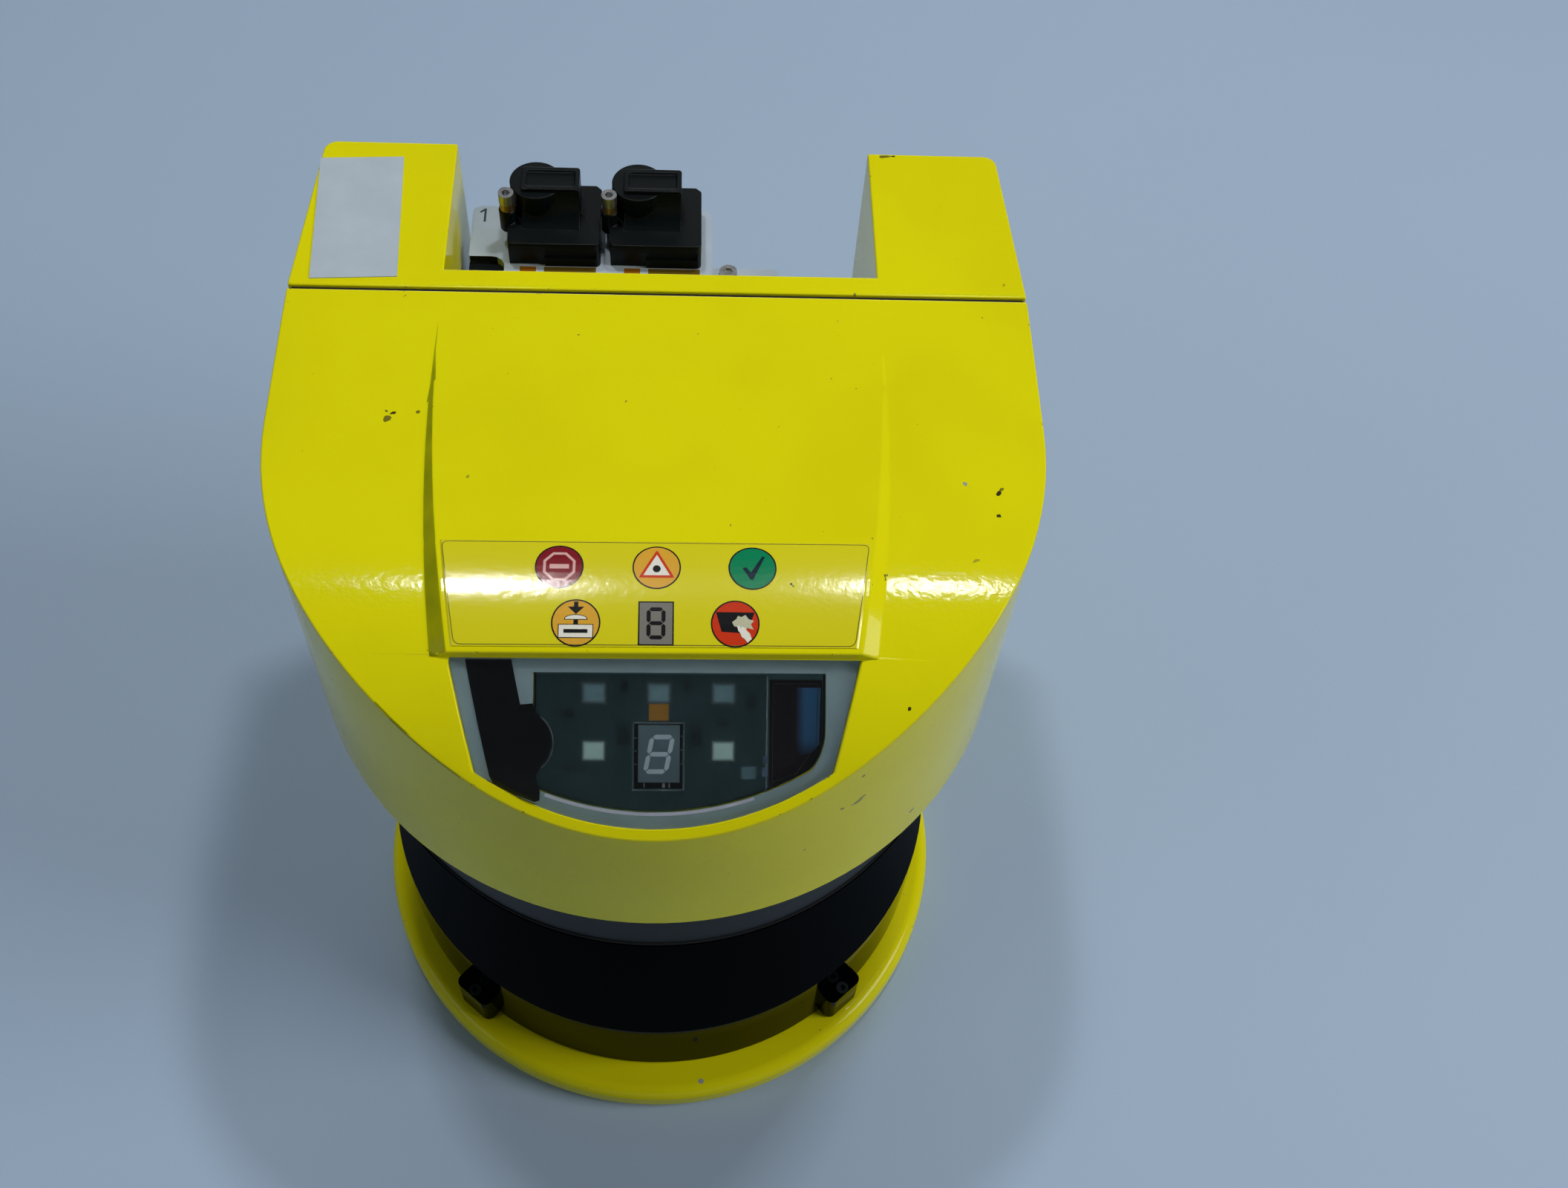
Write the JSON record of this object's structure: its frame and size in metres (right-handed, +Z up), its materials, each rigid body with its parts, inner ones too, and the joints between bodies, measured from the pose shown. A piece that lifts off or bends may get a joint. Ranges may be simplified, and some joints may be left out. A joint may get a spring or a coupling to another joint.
{
  "type": "safety laser scanner",
  "caption": "Machine-guarding laser scanner: yellow domed head with a display window above a waisted black screen, a rear module with a connector bay, and a round base.",
  "frame": {"origin": "centre of the round base's standing face", "axes": "+Z up, +Y towards the flat rear face that is bolted on, +X to the right seen from the front"},
  "size_m": [0.155, 0.1604, 0.1852],
  "materials": {
    "board_dark": "dark blue-green solder mask",
    "board_green": "green solder mask",
    "cast_aluminium": "machined casting",
    "chassis_grey": "satin dark grey",
    "chip_black": "moulded packages",
    "collar_brass": "brass",
    "contact_gold": "gold-plated",
    "copper_winding": "enamelled copper winding",
    "digit_grey": "grey face with light segments",
    "filter_red": "dark red-brown tint",
    "foil_black": "matt black foil",
    "gasket_grey": "satin light grey",
    "label_film": "clear-backed printed film",
    "lamp_milky": "milky lamp body",
    "lens_glass": "coated glass",
    "mirror_silver": "front-silvered glass",
    "pane_clear": "clear, slightly smoky",
    "plastic_black": "black moulding",
    "plate_grey": "pale grey plate",
    "ribbon_grey": "ribbon and header",
    "screen_black": "polished black infrared-pass moulding",
    "screw_black": "blackened steel",
    "screw_steel": "bright steel",
    "seal_rubber": "matt black",
    "steel_bright": "ground steel",
    "sticker_white": "white paper film, blank",
    "yellow_enamel": "glossy lemon-yellow enamel with a light orange-peel"
  },
  "bodies": {
    "scanner_body": {"base_cover": "yellow_enamel", "base_screws": "screw_steel", "screen_lower_seal": "seal_rubber", "front_screen": "screen_black", "screen_screws": "screw_black", "screen_upper_seal": "seal_rubber", "optics_chassis": "chassis_grey", "chassis_screws": "screw_steel", "sensor_head_housing": "yellow_enamel", "split_gasket": "seal_rubber", "io_module_housing": "yellow_enamel", "module_screws": "screw_steel", "display_window": "pane_clear", "display_gasket": "gasket_grey", "display_mask": "foil_black", "display_tray": "plastic_black", "display_board": "board_dark", "seven_segment_display": "digit_grey", "indicator_leds": "lamp_milky", "display_filter": "filter_red", "label_sheet": "label_film", "blank_sticker": "sticker_white", "connector_carrier": "plastic_black", "connector_plate": "plate_grey", "connector_left": "plastic_black", "connector_right": "plastic_black", "connector_contacts": "contact_gold", "jackscrews": "screw_steel", "jackscrew_collars": "collar_brass", "plate_screw": "screw_steel", "motor_plate": "cast_aluminium", "motor_stator": "copper_winding", "spindle_bearings": "steel_bright", "encoder_sensor": "plastic_black", "lens_barrel": "plastic_black", "receiver_lens": "lens_glass", "laser_tube": "collar_brass", "detector_board": "board_green", "light_detector": "screw_steel", "main_board": "board_green", "main_board_parts": "chip_black", "interface_board": "board_green", "interface_board_parts": "chip_black", "board_standoffs": "screw_steel", "board_link": "ribbon_grey", "lower_sensor_board": "board_green", "window_emitters": "chip_black", "upper_sensor_board": "board_green", "window_receivers": "chip_black"},
    "scan_rotor": {"spindle_shaft": "steel_bright", "motor_rotor": "steel_bright", "encoder_disc": "cast_aluminium", "mirror_hub": "plastic_black", "scan_mirror": "mirror_silver"}
  },
  "joints": [
    {"name": "mirror_spin", "type": "hinge", "parent": "scanner_body", "child": "scan_rotor", "pos_m": [0, -0.008, 0.063], "axis": [0, 0, 1], "continuous": true}
  ]
}
